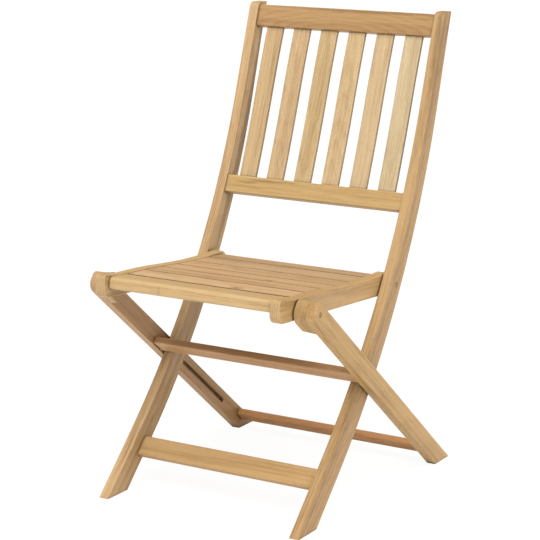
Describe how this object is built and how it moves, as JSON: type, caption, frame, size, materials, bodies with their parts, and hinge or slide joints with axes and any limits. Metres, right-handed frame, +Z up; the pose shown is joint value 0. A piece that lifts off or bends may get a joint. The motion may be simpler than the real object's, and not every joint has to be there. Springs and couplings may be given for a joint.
{
  "type": "folding chair",
  "caption": "Slatted wooden folding garden chair: curved posts carry an upright-slatted back, the slatted seat turns on the posts and the rear legs fold in behind it.",
  "frame": {"origin": "middle of the open chair's footprint, on the floor", "axes": "+Z up, the front of the chair faces -Y, +X to the right as seen from the front"},
  "size_m": [0.48, 0.6125, 0.896],
  "materials": {
    "teak_frame": "sanded and lightly oiled",
    "teak_back": "sanded and lightly oiled",
    "teak_seat": "sanded and lightly oiled",
    "teak_legs": "sanded and lightly oiled",
    "steel": "plain pins and washers"
  },
  "bodies": {
    "post_frame": {"left_post": "teak_frame", "right_post": "teak_frame", "top_back_rail": "teak_back", "lower_back_rail": "teak_back", "back_slat_1": "teak_back", "back_slat_2": "teak_back", "back_slat_3": "teak_back", "back_slat_4": "teak_back", "back_slat_5": "teak_back", "back_slat_6": "teak_back", "front_stretcher": "teak_frame", "left_seat_pivot_pin": "steel", "right_seat_pivot_pin": "steel", "left_guide_pin": "steel", "right_guide_pin": "steel", "left_seat_pivot_plug": "teak_frame", "right_seat_pivot_plug": "teak_frame"},
    "seat": {"left_seat_rail": "teak_seat", "right_seat_rail": "teak_seat", "front_seat_slat": "teak_seat", "seat_slat_1": "teak_seat", "seat_slat_2": "teak_seat", "seat_slat_3": "teak_seat", "seat_slat_4": "teak_seat", "seat_slat_5": "teak_seat", "rear_seat_slat": "teak_seat", "left_leg_pivot_pin": "steel", "right_leg_pivot_pin": "steel", "left_seat_pivot_washer": "steel", "right_seat_pivot_washer": "steel", "left_leg_pivot_washer": "steel", "right_leg_pivot_washer": "steel"},
    "rear_legs": {"left_rear_leg": "teak_legs", "right_rear_leg": "teak_legs", "left_leg_head_block": "teak_legs", "right_leg_head_block": "teak_legs", "stop_bar": "teak_legs", "rear_stretcher": "teak_legs", "left_leg_pivot_plug": "teak_legs", "right_leg_pivot_plug": "teak_legs"}
  },
  "joints": [
    {"name": "seat_fold", "type": "hinge", "parent": "post_frame", "child": "seat", "pos_m": [0, 0.0948, 0.395], "axis": [-1, 0, 0], "range_deg": [0, 98]},
    {"name": "rear_leg_fold", "type": "hinge", "parent": "seat", "child": "rear_legs", "pos_m": [0, -0.2437, 0.4105], "axis": [1, 0, 0], "range_deg": [0, 26.8]}
  ],
  "couplings": [
    {"joint": "rear_leg_fold", "follows": "seat_fold", "ratio": 0.272}
  ]
}
